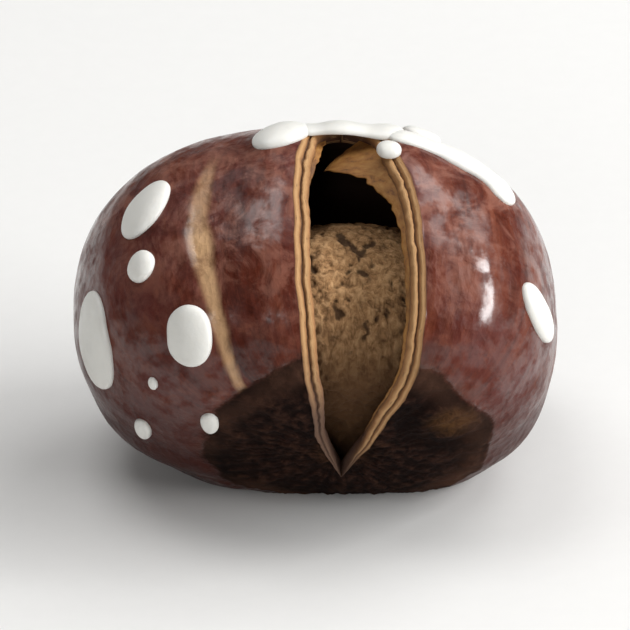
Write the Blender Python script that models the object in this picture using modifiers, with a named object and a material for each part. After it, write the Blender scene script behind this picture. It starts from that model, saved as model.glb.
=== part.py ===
"""A nut in its shell: a hard hollow shell, torn open from tip to base, with the kernel lying inside.

Units are metres and +Z is up. The nut rests on a small flat spot, with its split towards -Y and its
tip towards +Y. Angles in the YZ plane are elevations: 0 looks along -Y and 90 looks straight up.
"""

import math

import bmesh
import bpy
from mathutils import Matrix, Vector

MM = 0.001

# Body of the nut
HALF_WIDTH = 13.1 * MM  # along X, with the split gaping
HALF_BREADTH = 10.2 * MM  # across the line from tip to scar
HALF_HEIGHT = 9.15 * MM  # along the line from tip to scar
ROUNDNESS = 2.55  # exponent of the body's section: 2 is an ellipse, more is squarer
WALL = 0.9 * MM
LEAN = 1.3 * MM  # how far the fullest section lies towards +X
FOOT_DEPTH = 9.7 * MM  # from the body's centre down to the flat spot
SCAR_ELEVATION = -30.0
VIEW_ELEVATION = 30.0  # the side from which drops are placed
SHOULDER_DROP = 0.85 * MM  # how far the right shoulder slopes away
SHOULDER_TURN = math.radians(42)  # of the shoulder above +X, in the view
SHOULDER_SPREAD = math.radians(37)

# Scar, tip and ribs
SCAR_PLANE = 8.75 * MM
SCAR_BLEND = 0.7 * MM
SCAR_RADIUS = 7.8 * MM
SCAR_SINK = 0.22 * MM
TIP_HEIGHT = 1.3 * MM
TIP_SPREAD = math.radians(10)
RIB_COUNT = 13
RIB_HEIGHT = 0.07 * MM
LUMP_HEIGHT = 0.16 * MM

# Split: its two lips as distances from the body's middle, at shares of the way from top to bottom end
SPLIT_TOP = 100.0
SPLIT_BOTTOM = -49.0
LEFT_LIP = ((0, 0), (0.06, 1.0), (0.19, 2.15), (0.29, 2.38), (0.5, 1.97), (0.7, 1.3), (0.85, 0.9), (1, 0))
RIGHT_LIP = (
    (0, 0), (0.06, 1.8), (0.16, 3.3), (0.3, 4.5), (0.45, 4.72), (0.58, 4.25), (0.7, 2.75), (0.84, 1.5), (1, 0)
)
LIP_BEVEL = 0.95 * MM  # width of the broken edge
LIP_BEVEL_SHARE = 0.16  # of the gap, where it is narrow
LIP_DROP = 0.4 * MM  # how far the broken edge slopes down
LIP_THIN = 0.45  # wall at the broken edge, as a share of WALL
LIP_LIFT = 0.3 * MM
LIP_LIFT_REACH = 2.2 * MM
TEAR = 0.08 * MM

# Kernel
KERNEL_CLEARANCE = 0.6 * MM
KERNEL_HALF = (11.4 * MM, 9.6 * MM, 7.6 * MM)  # along X, across and along the line from tip to scar
KERNEL_ACROSS = -0.5 * MM
KERNEL_DOWN = 3.4 * MM  # how far the kernel has sunk towards the scar
KERNEL_BLEND = 1.0 * MM
FIBRE_DEPTH = 0.2 * MM
FIBRES = 17

# Glaze: across and up as seen from VIEW_ELEVATION, length, width and turn of each drop, in mm and degrees
DROP_HEIGHT = 0.48 * MM
DROPS = (
    (-9.2, 5.3, 3.9, 3.2, 62),
    (-9.5, 2.2, 1.9, 1.7, 80),
    (-11.7, -1.9, 5.2, 4.2, 92),
    (-6.8, -1.45, 3.3, 3.0, 80),
    (-8.8, -4.1, 0.8, 0.8, 0),
    (-9.5, -6.5, 1.2, 1.2, 0),
    (-5.8, -6.2, 1.3, 1.1, 30),
    (-2.1, 9.15, 3.2, 2.8, 0),
    (3.9, 8.45, 1.7, 1.7, 0),
    (11.85, 0.0, 3.5, 3.3, 112),
)
SMEARS = (((-0.9, 9.7), (4.2, 9.55), 2.0), ((4.6, 9.15), (10.4, 6.0), 2.1))
SMEAR_STEP = 1.1 * MM
SMEAR_STRETCH = 1.5
# Drops on the side away from the view: bearing, elevation and size
BACK_DROPS = ((150, 40, 3.4), (118, 62, 2.2), (205, 28, 2.8), (232, 8, 3.6), (128, 8, 1.6), (188, -12, 2.0))

# Meshes
CAP_ROWS = 3
SPLIT_ROWS = 28
COLUMNS = 44
KERNEL_SEGMENTS = 44
KERNEL_RINGS = 24


def meridian(elevation):
    """The direction in the YZ plane at an elevation in degrees."""
    angle = math.radians(elevation)
    return Vector((0, -math.cos(angle), math.sin(angle)))


SIDE = Vector((1, 0, 0))
SCAR = meridian(SCAR_ELEVATION)
BROAD = meridian(SCAR_ELEVATION + 90)
VIEW = meridian(VIEW_ELEVATION)
VIEW_UP = meridian(VIEW_ELEVATION + 90)
SHOULDER = SIDE * math.cos(SHOULDER_TURN) + VIEW_UP * math.sin(SHOULDER_TURN)
SPLIT_MIDDLE = (SPLIT_TOP + SPLIT_BOTTOM) / 2
SPLIT_ARC = SPLIT_TOP - SPLIT_BOTTOM
POLE = meridian(SPLIT_MIDDLE + 90)
FACE = meridian(SPLIT_MIDDLE)


def clamp(value, low=0.0, high=1.0):
    return max(low, min(high, value))


def smooth_step(low, high, value):
    share = clamp((value - low) / (high - low))
    return share * share * (3 - 2 * share)


def smooth_min(a, b, blend):
    """The lower of two values, rounded where they meet."""
    share = clamp(0.5 + 0.5 * (b - a) / blend)
    return b + (a - b) * share - blend * share * (1 - share)


def through(points, place):
    """The height at a place of a smooth curve through points."""
    count = len(points)
    last = next((i for i in range(1, count) if place <= points[i][0]), count - 1)
    (x0, y0), (x1, y1) = points[last - 1], points[last]

    def slope(i):
        before, after = points[max(i - 1, 0)], points[min(i + 1, count - 1)]
        return (after[1] - before[1]) / (after[0] - before[0])

    step = x1 - x0
    s = clamp((place - x0) / step)
    return (
        y0 * (1 + 2 * s) * (1 - s) ** 2
        + slope(last - 1) * step * s * (1 - s) ** 2
        + y1 * s * s * (3 - 2 * s)
        + slope(last) * step * s * s * (s - 1)
    )


def body_radius(way):
    """Distance from the centre to the smooth body in a direction, without ribs or lips."""
    across, broad, down = way.dot(SIDE), way.dot(BROAD), way.dot(SCAR)
    radius = (
        abs(across / HALF_WIDTH) ** ROUNDNESS
        + abs(broad / HALF_BREADTH) ** ROUNDNESS
        + abs(down / HALF_HEIGHT) ** ROUNDNESS
    ) ** (-1 / ROUNDNESS)
    radius -= SHOULDER_DROP * math.exp(-((math.acos(clamp(way.dot(SHOULDER), -1)) / SHOULDER_SPREAD) ** 2))
    if down > 0.3:
        radius = smooth_min(radius, SCAR_PLANE / down, SCAR_BLEND)
    return radius


def shell_radius(way):
    """Distance from the centre to the shell's outside in a direction."""
    across, broad, down = way.dot(SIDE), way.dot(BROAD), way.dot(SCAR)
    radius = body_radius(way)
    off_axis = math.sqrt(max(0, 1 - down * down))
    round_axis = math.atan2(across, broad)
    radius += TIP_HEIGHT * math.exp(-((math.acos(clamp(-down, -1)) / TIP_SPREAD) ** 2))
    in_scar = (1 - smooth_step(0.93, 1.04, radius * off_axis / SCAR_RADIUS)) if down > 0 else 0
    radius -= SCAR_SINK * in_scar
    ribs = math.cos(RIB_COUNT * round_axis + 1.7 * math.sin(3 * round_axis))
    radius += RIB_HEIGHT * ribs * smooth_step(0.2, 0.7, off_axis) * (1 - in_scar)
    radius += LUMP_HEIGHT * math.sin(4.1 * across + 1.3) * math.sin(3.7 * broad + 2.9 * down + 0.4)
    if way.z < 0:
        radius = min(radius, FOOT_DEPTH / -way.z)
    return radius


def leaned(point):
    """Moves the fullest section towards +X, with the body's ends kept in place."""
    return point + SIDE * (LEAN * (1 - (point.x / HALF_WIDTH) ** 2))


def unleaned(point):
    bend = LEAN / HALF_WIDTH**2
    root = math.sqrt(max(0, 1 - 4 * bend * (point.x - LEAN)))
    return Vector(((1 - root) / (2 * bend), point.y, point.z))


def lip_offset(points, share, phase):
    """A lip's distance from the body's middle, with its torn wobble."""
    gap = through(points, share) * MM
    wobble = math.sin(31 * share + phase) + 0.6 * math.sin(67 * share + 2.3 * phase)
    return gap + TEAR * wobble * smooth_step(0, 0.9 * MM, gap)


def turn_to(offset, polar):
    """The turn about the split's axis at which the shell lies at an offset along X."""
    turn = 0.0
    for _ in range(4):
        way = around(polar, turn)
        turn = math.asin(clamp(offset / (shell_radius(way) * math.sin(polar)), -1))
    return turn


def around(polar, turn):
    """The direction at a polar angle and a turn about the axis through the split's ends."""
    level = FACE * math.cos(turn) + SIDE * math.sin(turn)
    return POLE * math.cos(polar) + level * math.sin(polar)


def row_angles():
    """Polar angles of the mesh's rows, and how far each lies along the split."""
    cap = math.radians((180 - SPLIT_ARC) / 2)
    rows = [(cap * i / CAP_ROWS, None) for i in range(CAP_ROWS)]
    for i in range(SPLIT_ROWS + 1):
        share = i / SPLIT_ROWS
        share -= 0.05 * math.sin(2 * math.pi * share)
        rows.append((cap + math.radians(SPLIT_ARC) * share, share))
    rows += [(math.pi - cap * (CAP_ROWS - 1 - i) / CAP_ROWS, None) for i in range(CAP_ROWS)]
    return rows


def row_points(polar, share):
    """One row of the shell's outside, from the right lip round the back to the left lip."""
    right = left = bevel = 0.0
    if share is not None and 0 < share < 1:
        right = lip_offset(RIGHT_LIP, share, 0.4)
        left = -lip_offset(LEFT_LIP, share, 2.1)
        bevel = min(LIP_BEVEL, LIP_BEVEL_SHARE * (right - left))
    open_share = bevel / LIP_BEVEL
    if polar in (0, math.pi) or right == left:
        start, end = 0.0, 2 * math.pi
        inner_start, inner_end = start, end
    else:
        start, end = turn_to(right, polar), turn_to(left, polar) + 2 * math.pi
        inner_start = turn_to(right - bevel, polar)
        inner_end = turn_to(left + bevel, polar) + 2 * math.pi
    points = []
    for column in range(COLUMNS + 3):
        turn = start + (end - start) * (column - 1) / COLUMNS
        if column == 0:
            turn = inner_start - (1e-9 if right == left else 0)
        elif column == COLUMNS + 2:
            turn = inner_end
        way = around(polar, turn)
        radius = shell_radius(way)
        point = way * radius
        edge = min(abs(point.x - right), abs(point.x - left)) if way.dot(FACE) > 0 else LIP_LIFT_REACH * 4
        lift = LIP_LIFT * open_share * math.exp(-((edge / LIP_LIFT_REACH) ** 2))
        if column in (0, COLUMNS + 2):
            lift -= LIP_DROP * open_share
        points.append((leaned(point + way * lift), open_share))
    return points


def add_object(name, mesh, material, collection):
    """Makes an object of a mesh, with one material and smooth shading."""
    mesh.name = name
    mesh.materials.append(material)
    mesh.shade_smooth()
    thing = bpy.data.objects.new(name, mesh)
    collection.objects.link(thing)
    return thing


def make_material(name, colour, roughness):
    """A material with one colour and roughness."""
    material = bpy.data.materials.new(name)
    material.use_nodes = True
    shader = material.node_tree.nodes["Principled BSDF"]
    shader.inputs["Base Color"].default_value = (*colour, 1)
    shader.inputs["Roughness"].default_value = roughness
    shader.inputs["Metallic"].default_value = 0
    return material


def shell_sheet():
    """The shell's outside as an open sheet, wrapped from a flat grid."""
    rows = row_angles()
    bm = bmesh.new()
    bmesh.ops.create_grid(bm, x_segments=COLUMNS + 2, y_segments=len(rows) - 1, size=1)
    wrapped = [row_points(polar, share) for polar, share in rows]
    wall = bm.verts.layers.deform.verify()
    for vert in bm.verts:
        column = round((1 - vert.co.x) / 2 * (COLUMNS + 2))
        row = round((vert.co.y + 1) / 2 * (len(rows) - 1))
        point, open_share = wrapped[row][column]
        vert.co = point
        edge = column in (0, COLUMNS + 2)
        vert[wall][0] = 1 - open_share if edge else 1.0
    bmesh.ops.remove_doubles(bm, verts=bm.verts, dist=0.01 * MM)
    mesh = bpy.data.meshes.new("shell")
    bm.to_mesh(mesh)
    bm.free()
    return mesh


def make_shell(collection, material):
    """The hollow shell: its outside sheet, thickened inwards and thinner at the torn lips."""
    shell = add_object("shell", shell_sheet(), material, collection)
    shell.vertex_groups.new(name="wall")
    thicken = shell.modifiers.new("wall", "SOLIDIFY")
    thicken.thickness = WALL
    thicken.offset = -1
    thicken.vertex_group = "wall"
    thicken.thickness_vertex_group = LIP_THIN
    return shell


def surface_at(across, up):
    """The point of the shell that shows at a place in the view, and its outward direction."""
    near, far = 16 * MM, 0.0
    base = SIDE * across + VIEW_UP * up
    for _ in range(40):
        middle = (near + far) / 2
        point = unleaned(base + VIEW * middle)
        if point.length > shell_radius(point.normalized()):
            near = middle
        else:
            far = middle
    way = unleaned(base + VIEW * near).normalized()
    shown = leaned(way * shell_radius(way))
    return shown, outward(shown)


def outward(point):
    """The direction in which the distance from the shell grows fastest."""
    step = 0.2 * MM

    def height(place):
        place = unleaned(place)
        return place.length - shell_radius(place.normalized())

    axes = [Vector(axis) for axis in ((1, 0, 0), (0, 1, 0), (0, 0, 1))]
    return Vector([height(point + a * step) - height(point - a * step) for a in axes]).normalized()


def add_drop(point, normal, along, length, width, collection, material):
    """A low domed drop, half sunk in the shell, with its length in the direction along."""
    bm = bmesh.new()
    segments, rings = (14, 8) if min(length, width) > 2.5 * MM else (8, 6)
    bmesh.ops.create_uvsphere(bm, u_segments=segments, v_segments=rings, radius=1)
    level = (along - normal * along.dot(normal)).normalized()
    frame = Matrix((level, normal.cross(level), normal)).transposed().to_4x4()
    height = min(DROP_HEIGHT, 0.45 * min(length, width))
    shape = Matrix.Diagonal((length / 2, width / 2, height, 1))
    bmesh.ops.transform(bm, matrix=Matrix.Translation(point) @ frame @ shape, verts=bm.verts)
    mesh = bpy.data.meshes.new("drop")
    bm.to_mesh(mesh)
    bm.free()
    drop = add_object("drop", mesh, material, collection)
    drop.hide_render = True
    drop.display_type = "WIRE"


def add_glaze(collection, material):
    """All drops and smears of dried glaze, as loose domes that the shell is then joined with."""
    for across, up, length, width, turn in DROPS:
        turn = math.radians(turn)
        along = SIDE * math.cos(turn) + VIEW_UP * math.sin(turn)
        point, normal = surface_at(across * MM, up * MM)
        add_drop(point, normal, along, length * MM, width * MM, collection, material)
    for start, end, width in SMEARS:
        start, end = Vector(start) * MM, Vector(end) * MM
        along = SIDE * (end - start).x + VIEW_UP * (end - start).y
        steps = round((end - start).length / SMEAR_STEP)
        for i in range(steps + 1):
            place = start.lerp(end, i / steps)
            size = width * MM * (1 + 0.15 * math.sin(2.3 * i))
            point, normal = surface_at(place.x, place.y)
            add_drop(point, normal, along, size * SMEAR_STRETCH, size, collection, material)
    for bearing, elevation, size in BACK_DROPS:
        turn, rise = math.radians(bearing), math.radians(elevation)
        way = Vector((math.sin(turn) * math.cos(rise), -math.cos(turn) * math.cos(rise), math.sin(rise)))
        point = leaned(way * shell_radius(way))
        add_drop(point, outward(point), SIDE + VIEW_UP, size * MM, size * 0.85 * MM, collection, material)


def join_glaze(shell, drops):
    """Fuses the drops into the shell and removes them."""
    union = shell.modifiers.new("glaze", "BOOLEAN")
    union.operation = "UNION"
    union.operand_type = "COLLECTION"
    union.collection = drops
    union.solver = "EXACT"
    union.material_mode = "TRANSFER"
    bpy.context.view_layer.update()
    joined = bpy.data.meshes.new_from_object(shell.evaluated_get(bpy.context.evaluated_depsgraph_get()))
    shell.modifiers.clear()
    shell.data = joined
    for drop in list(drops.objects):
        bpy.data.objects.remove(drop)


def kernel_radius(way):
    """Distance from the nut's centre to the kernel's skin in a direction."""
    floor = FOOT_DEPTH / -way.z if way.z < -0.3 else 1.0
    room = min(body_radius(way), floor) - 1.1 * (WALL + KERNEL_CLEARANCE)
    across, broad, down = KERNEL_HALF
    ray = Vector((way.dot(SIDE) / across, way.dot(BROAD) / broad, way.dot(SCAR) / down))
    start = Vector((0, -KERNEL_ACROSS / broad, -KERNEL_DOWN / down))
    half = ray.dot(start)
    reach = (-half + math.sqrt(half * half - ray.dot(ray) * (start.dot(start) - 1))) / ray.dot(ray)
    radius = smooth_min(room, reach, KERNEL_BLEND)
    turn = math.atan2(way.dot(SIDE), way.dot(BROAD))
    fibres = math.sin(FIBRES * turn + 2.2 * math.sin(2.0 * turn + 3.1 * way.dot(SCAR)))
    return radius - FIBRE_DEPTH * (0.5 + 0.5 * fibres) * (1 - way.dot(SCAR) ** 2)


def make_kernel(collection, material):
    """The kernel: a ball drawn to its own form, clear of the shell's inner wall."""
    bm = bmesh.new()
    bmesh.ops.create_uvsphere(bm, u_segments=KERNEL_SEGMENTS, v_segments=KERNEL_RINGS, radius=1)
    for vert in bm.verts:
        way = (SIDE * vert.co.x + BROAD * vert.co.y + SCAR * vert.co.z).normalized()
        vert.co = leaned(way * kernel_radius(way))
    mesh = bpy.data.meshes.new("kernel")
    bm.to_mesh(mesh)
    bm.free()
    return add_object("kernel", mesh, material, collection)


def centre(shell, parts, collection):
    """Hangs the parts on an empty that puts the middle of the nut's base at the origin."""
    corners = [Vector(corner) for corner in shell.bound_box]
    low = Vector([min(corner[i] for corner in corners) for i in range(3)])
    high = Vector([max(corner[i] for corner in corners) for i in range(3)])
    nut = bpy.data.objects.new("nut", None)
    nut.location = (-(low.x + high.x) / 2, -(low.y + high.y) / 2, -low.z)
    collection.objects.link(nut)
    for part in parts:
        part.parent = nut


def main():
    for thing in list(bpy.data.objects):
        bpy.data.objects.remove(thing)
    nut = bpy.data.collections.new("hazelnut_in_shell")
    drops = bpy.data.collections.new("glaze_drops")
    for collection in (nut, drops):
        bpy.context.scene.collection.children.link(collection)
    shell = make_shell(nut, make_material("mahogany shell", (0.11, 0.028, 0.018), 0.28))
    add_glaze(drops, make_material("white glaze", (0.78, 0.79, 0.75), 0.45))
    join_glaze(shell, drops)
    kernel = make_kernel(nut, make_material("kernel skin", (0.24, 0.15, 0.075), 0.85))
    centre(shell, (shell, kernel), nut)


main()
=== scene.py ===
"""A roasted nut in its split shell, dressed for a studio picture.

The shell is one hollow wall with torn lips, a dull scar and a small tip. A fibrous kernel lies inside, and
white glaze has dried in drops and smears on the outside. Sizes are in metres, and +Z is up. Angles in the
YZ plane are elevations: 0 looks along -Y, from where the split shows, and 90 looks straight up.
"""

import sys

import logging
import math
from dataclasses import dataclass, field
from enum import Enum

import bmesh
import bpy
from mathutils import Matrix, Vector, noise


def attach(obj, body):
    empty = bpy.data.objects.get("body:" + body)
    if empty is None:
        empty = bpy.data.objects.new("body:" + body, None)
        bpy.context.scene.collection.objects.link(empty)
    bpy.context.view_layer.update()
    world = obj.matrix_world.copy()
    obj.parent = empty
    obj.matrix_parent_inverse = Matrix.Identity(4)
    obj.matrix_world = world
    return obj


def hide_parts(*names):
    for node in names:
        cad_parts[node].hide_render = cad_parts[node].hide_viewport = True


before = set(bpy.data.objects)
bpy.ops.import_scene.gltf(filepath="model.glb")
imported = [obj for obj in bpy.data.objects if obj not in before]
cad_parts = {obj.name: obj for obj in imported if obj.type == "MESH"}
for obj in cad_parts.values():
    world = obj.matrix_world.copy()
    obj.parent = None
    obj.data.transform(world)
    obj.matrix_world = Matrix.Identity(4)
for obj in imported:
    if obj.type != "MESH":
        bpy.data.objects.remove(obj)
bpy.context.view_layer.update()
MM = 0.001
WELD = 1e-7
SIDE = Vector((1, 0, 0))
log = logging.getLogger("nut")

Colour = tuple[float, float, float]
Places = tuple[tuple[float, float], ...]


class Lip(Enum):
    """The two torn edges of the split, as seen from the front."""

    RIGHT = 1
    LEFT = -1


class GlazeForm(Enum):
    """The outlines that dried glaze takes."""

    DROP = "drop"
    SMEAR = "smear"


def meridian(elevation: float) -> Vector:
    """Returns the direction in the YZ plane at an elevation in degrees."""
    angle = math.radians(elevation)
    return Vector((0, -math.cos(angle), math.sin(angle)))


def clamp(value: float, low: float = 0.0, high: float = 1.0) -> float:
    """Returns the value, held between low and high."""
    return max(low, min(high, value))


def smooth_step(low: float, high: float, value: float) -> float:
    """Returns 0 below low, 1 above high and a smooth rise between them."""
    share = clamp((value - low) / (high - low))
    return share * share * (3 - 2 * share)


def smooth_min(first: float, second: float, blend: float) -> float:
    """Returns the lower of two values, rounded where they meet."""
    share = clamp(0.5 + 0.5 * (second - first) / blend)
    return second + (first - second) * share - blend * share * (1 - share)


def bell(distance: float, reach: float) -> float:
    """Returns 1 at no distance, falling smoothly to nothing past the reach."""
    return math.exp(-((distance / reach) ** 2))


def through(points: Places, place: float) -> float:
    """Reads a smooth curve that runs through points.

    Args:
        points: The curve's points, in rising order of their first number.
        place: Where to read the curve.

    Returns:
        The curve's height at the place.
    """
    count = len(points)
    last = next((i for i in range(1, count) if place <= points[i][0]), count - 1)
    (x0, y0), (x1, y1) = points[last - 1], points[last]
    slopes = []
    for i in (last - 1, last):
        before, after = points[max(i - 1, 0)], points[min(i + 1, count - 1)]
        slopes.append((after[1] - before[1]) / (after[0] - before[0]))
    step = x1 - x0
    s = clamp((place - x0) / step)
    rise = y0 * (1 + 2 * s) * (1 - s) ** 2 + y1 * s * s * (3 - 2 * s)
    return rise + slopes[0] * step * s * (1 - s) ** 2 + slopes[1] * step * s * s * (s - 1)


@dataclass
class NutForm:
    """The nut's outside form, which every piece is fitted to.

    It is a squared ball, flattened at the scar and drawn to a small tip, with its fullest section leaning to
    one side. Points are measured from the ball's centre.
    """

    half_width: float = 13.1 * MM
    half_breadth: float = 10.2 * MM
    half_height: float = 9.15 * MM
    roundness: float = 2.55
    lean: float = 1.3 * MM
    foot_depth: float = 9.7 * MM
    centre: Vector = field(default_factory=lambda: Vector((0.112, -0.289, 9.7)) * MM)
    scar: Vector = field(default_factory=lambda: meridian(-30))
    broad: Vector = field(default_factory=lambda: meridian(60))
    view: Vector = field(default_factory=lambda: meridian(30))
    view_up: Vector = field(default_factory=lambda: meridian(120))
    shoulder_drop: float = 0.85 * MM
    shoulder_turn: float = math.radians(42)
    shoulder_spread: float = math.radians(37)
    scar_plane: float = 8.75 * MM
    scar_blend: float = 0.7 * MM
    scar_radius: float = 7.8 * MM
    scar_sink: float = 0.22 * MM
    tip_height: float = 1.3 * MM
    tip_spread: float = math.radians(10)
    rib_count: int = 13
    rib_height: float = 0.07 * MM
    lump_height: float = 0.16 * MM

    def __post_init__(self) -> None:
        """Works out which way the sloping right shoulder faces."""
        self.shoulder = SIDE * math.cos(self.shoulder_turn) + self.view_up * math.sin(self.shoulder_turn)

    def body_radius(self, way: Vector) -> float:
        """Measures the plain body, without its tip, scar, ribs and lumps.

        Args:
            way: A direction of length 1.

        Returns:
            The distance from the centre to the body's outside.
        """
        across, broad, down = way.dot(SIDE), way.dot(self.broad), way.dot(self.scar)
        total = abs(across / self.half_width) ** self.roundness
        total += abs(broad / self.half_breadth) ** self.roundness
        total += abs(down / self.half_height) ** self.roundness
        radius = total ** (-1 / self.roundness)
        from_shoulder = math.acos(clamp(way.dot(self.shoulder), -1))
        radius -= self.shoulder_drop * bell(from_shoulder, self.shoulder_spread)
        if down > 0.3:
            radius = smooth_min(radius, self.scar_plane / down, self.scar_blend)
        return radius

    def shell_radius(self, way: Vector) -> float:
        """Returns the distance from the centre to the shell's outside in a direction.

        Args:
            way: A direction of length 1.

        Returns:
            The distance, with the tip, the sunk scar, the ribs, the lumps and the flat foot.
        """
        across, broad, down = way.dot(SIDE), way.dot(self.broad), way.dot(self.scar)
        radius = self.body_radius(way)
        off_axis = math.sqrt(max(0, 1 - down * down))
        round_axis = math.atan2(across, broad)
        radius += self.tip_height * bell(math.acos(clamp(-down, -1)), self.tip_spread)
        in_scar = 0.0
        if down > 0:
            in_scar = 1 - smooth_step(0.93, 1.04, radius * off_axis / self.scar_radius)
        radius -= self.scar_sink * in_scar
        ribs = math.cos(self.rib_count * round_axis + 1.7 * math.sin(3 * round_axis))
        radius += self.rib_height * ribs * smooth_step(0.2, 0.7, off_axis) * (1 - in_scar)
        lumps = math.sin(4.1 * across + 1.3) * math.sin(3.7 * broad + 2.9 * down + 0.4)
        radius += self.lump_height * lumps
        if way.z < 0:
            radius = min(radius, self.foot_depth / -way.z)
        return radius

    def leaned(self, point: Vector) -> Vector:
        """Returns the point moved with the body's lean to one side."""
        return point + SIDE * (self.lean * (1 - (point.x / self.half_width) ** 2))

    def unleaned(self, point: Vector) -> Vector:
        """Undoes the body's lean.

        Args:
            point: A point of the leaned body.

        Returns:
            The point as it was before.
        """
        bend = self.lean / self.half_width**2
        root = math.sqrt(max(0, 1 - 4 * bend * (point.x - self.lean)))
        return Vector(((1 - root) / (2 * bend), point.y, point.z))


@dataclass
class Split:
    """The gap torn in the shell, from just behind the top, down the front and into the scar.

    Its lips are given as distances from the body's middle, in millimetres, at shares of the way down.
    """

    form: NutForm
    top: float = 100.0
    bottom: float = -49.0
    left_lip: Places = (
        (0, 0), (0.05, 1.65), (0.1, 2.15), (0.19, 2.4), (0.29, 2.45), (0.5, 2.15), (0.7, 1.55),
        (0.85, 1.1), (1, 0)
    )
    right_lip: Places = (
        (0, 0), (0.05, 1.95), (0.16, 3.3), (0.3, 4.27), (0.45, 4.47), (0.58, 4.1), (0.7, 2.75),
        (0.84, 1.55), (1, 0)
    )
    tear: float = 0.035 * MM
    bevel: float = 0.66 * MM
    bevel_share: float = 0.13
    lift: float = 0.3 * MM
    lift_reach: float = 2.2 * MM
    fray: float = 0.03 * MM
    length: float = 26.0 * MM

    def __post_init__(self) -> None:
        """Works out the axis through the split's ends."""
        middle = (self.top + self.bottom) / 2
        self.pole = meridian(middle + 90)
        self.face = meridian(middle)
        self.arc = math.radians(self.top - self.bottom)
        self.cap = (math.pi - self.arc) / 2

    def way(self, polar: float, turn: float) -> Vector:
        """Returns the direction at a polar angle and a turn about the axis through the split's ends."""
        level = self.face * math.cos(turn) + SIDE * math.sin(turn)
        return self.pole * math.cos(polar) + level * math.sin(polar)

    def lip_offset(self, lip: Lip, share: float) -> float:
        """Places a lip, which wavers as torn shell does.

        Args:
            lip: Which lip.
            share: How far down the split.

        Returns:
            Its distance from the body's middle.
        """
        points, phase = (self.right_lip, 0.4) if lip is Lip.RIGHT else (self.left_lip, 2.1)
        gap = through(points, share) * MM
        wobble = math.sin(31 * share + phase) + 0.6 * math.sin(67 * share + 2.3 * phase)
        frayed = noise.noise(Vector((share * 55, phase, 0.3)))
        return gap + (self.tear * wobble + self.fray * frayed) * smooth_step(0, 0.9 * MM, gap)

    def lips(self, share: float | None) -> tuple[float, float, float]:
        """Finds the gap at a share of the way down.

        Args:
            share: How far down the split, or None beyond its ends.

        Returns:
            The right lip's place, the left lip's place, and the width of the broken edge.
        """
        if share is None or not 0 < share < 1:
            return 0.0, 0.0, 0.0
        right = self.lip_offset(Lip.RIGHT, share)
        left = -self.lip_offset(Lip.LEFT, share)
        return right, left, min(self.bevel, self.bevel_share * (right - left))

    def turn_to(self, offset: float, polar: float) -> float:
        """Finds the turn at which the shell lies at an offset along X.

        Args:
            offset: The offset from the body's middle.
            polar: The polar angle.

        Returns:
            The turn, in radians.
        """
        turn = 0.0
        for _ in range(4):
            reach = self.form.shell_radius(self.way(polar, turn)) * math.sin(polar)
            turn = math.asin(clamp(offset / reach, -1))
        return turn

    def lip_lift(self, way: Vector, radius: float) -> float:
        """Works out how far the shell's outside curls up beside the lips.

        Args:
            way: A direction of length 1.
            radius: The distance to the shell's outside there.

        Returns:
            The height of the curl.
        """
        if way.dot(self.face) <= 0:
            return 0.0
        share = (math.acos(clamp(way.dot(self.pole), -1)) - self.cap) / self.arc
        right, left, bevel = self.lips(share)
        if bevel == 0:
            return 0.0
        offset = way.x * radius
        away = max(0.0, offset - right, left - offset)
        return self.lift * bevel / self.bevel * bell(away, self.lift_reach)

    def surface(self, way: Vector) -> Vector:
        """Returns the point of the shell's outside in a direction."""
        radius = self.form.shell_radius(way)
        return self.form.leaned(way * (radius + self.lip_lift(way, radius)))

    def pressed(self, point: Vector) -> Vector:
        """Returns the point of the shell's outside nearest above or below a point."""
        return self.surface(self.form.unleaned(point).normalized())

    def surface_at(self, across: float, up: float) -> Vector:
        """Finds what shows at a place in the front view.

        Args:
            across: The distance to the right of the body's centre.
            up: The distance above the body's centre, in the view.

        Returns:
            The point of the shell's outside there.
        """
        near, far = 16 * MM, 0.0
        base = SIDE * across + self.form.view_up * up
        for _ in range(36):
            middle = (near + far) / 2
            point = self.form.unleaned(base + self.form.view * middle)
            if point.length > self.form.shell_radius(point.normalized()):
                near = middle
            else:
                far = middle
        return self.pressed(base + self.form.view * near)

    def outward(self, point: Vector) -> Vector:
        """Finds which way the shell faces.

        Args:
            point: A point of its outside.

        Returns:
            The outward direction, of length 1.
        """
        level = point.cross(self.form.view_up).normalized() * 0.3 * MM
        rise = point.cross(level).normalized() * 0.3 * MM
        first = self.pressed(point + level) - self.pressed(point - level)
        second = self.pressed(point + rise) - self.pressed(point - rise)
        out = first.cross(second).normalized()
        return out if out.dot(point) > 0 else -out


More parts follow.
